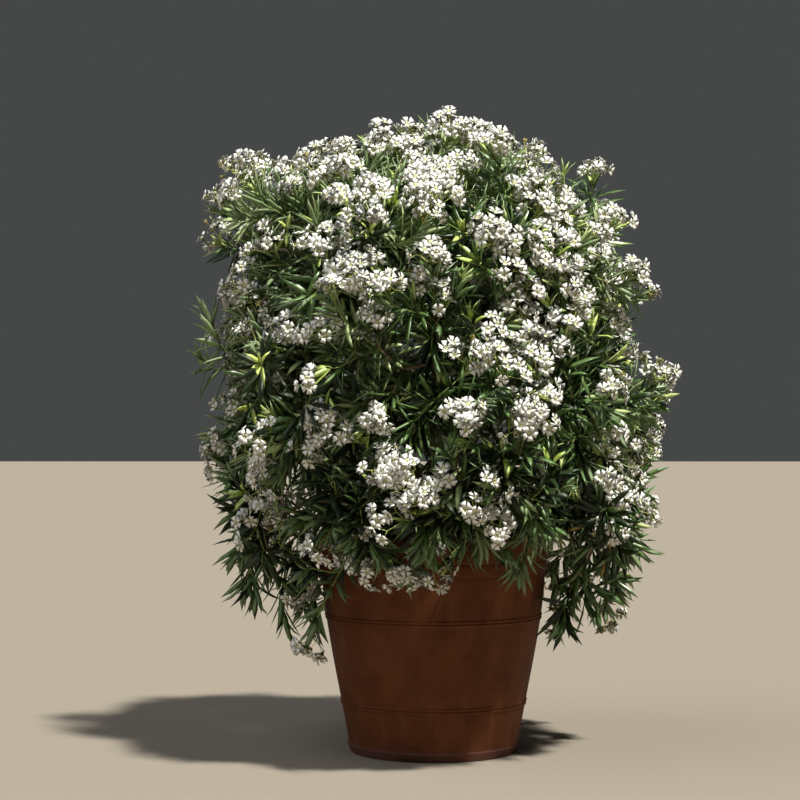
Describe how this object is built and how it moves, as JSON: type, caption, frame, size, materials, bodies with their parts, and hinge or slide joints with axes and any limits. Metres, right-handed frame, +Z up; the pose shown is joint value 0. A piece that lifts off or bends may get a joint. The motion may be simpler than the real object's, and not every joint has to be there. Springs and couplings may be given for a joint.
{
  "type": "potted oleander",
  "caption": "Bushy evergreen shrub with narrow leaves and white blossom, many-stemmed, in a round terracotta pot.",
  "frame": {"origin": "the middle of the pot's flat underside, on the ground", "axes": "+Z up, -Y towards the viewer of the picture, +X to that viewer's right"},
  "size_m": [1.7774, 1.7621, 2.3679],
  "materials": {
    "terracotta": "matt fired clay",
    "potting_soil": "crumbly, matt",
    "bark": "smooth grey-brown bark",
    "foliage": "leathery leaves, white blossom"
  },
  "bodies": {
    "root": {"pot": "terracotta", "soil": "potting_soil", "trunk": "bark", "bough_top_1": "bark", "bough_shoulder_1": "bark", "bough_shoulder_2": "bark", "bough_shoulder_3": "bark", "bough_shoulder_4": "bark", "bough_shoulder_5": "bark", "bough_middle_1": "bark", "bough_middle_2": "bark", "bough_middle_3": "bark", "bough_middle_4": "bark", "bough_middle_5": "bark", "bough_middle_6": "bark", "bough_middle_7": "bark", "bough_skirt_1": "bark", "bough_skirt_2": "bark", "bough_skirt_3": "bark", "bough_skirt_4": "bark", "bough_skirt_5": "bark", "bough_skirt_6": "bark", "bough_skirt_7": "bark", "foliage_top_1": "foliage", "foliage_shoulder_1": "foliage", "foliage_shoulder_2": "foliage", "foliage_shoulder_3": "foliage", "foliage_shoulder_4": "foliage", "foliage_shoulder_5": "foliage", "foliage_middle_1": "foliage", "foliage_middle_2": "foliage", "foliage_middle_3": "foliage", "foliage_middle_4": "foliage", "foliage_middle_5": "foliage", "foliage_middle_6": "foliage", "foliage_middle_7": "foliage", "foliage_skirt_1": "foliage", "foliage_skirt_2": "foliage", "foliage_skirt_3": "foliage", "foliage_skirt_4": "foliage", "foliage_skirt_5": "foliage", "foliage_skirt_6": "foliage", "foliage_skirt_7": "foliage"}
  },
  "joints": []
}
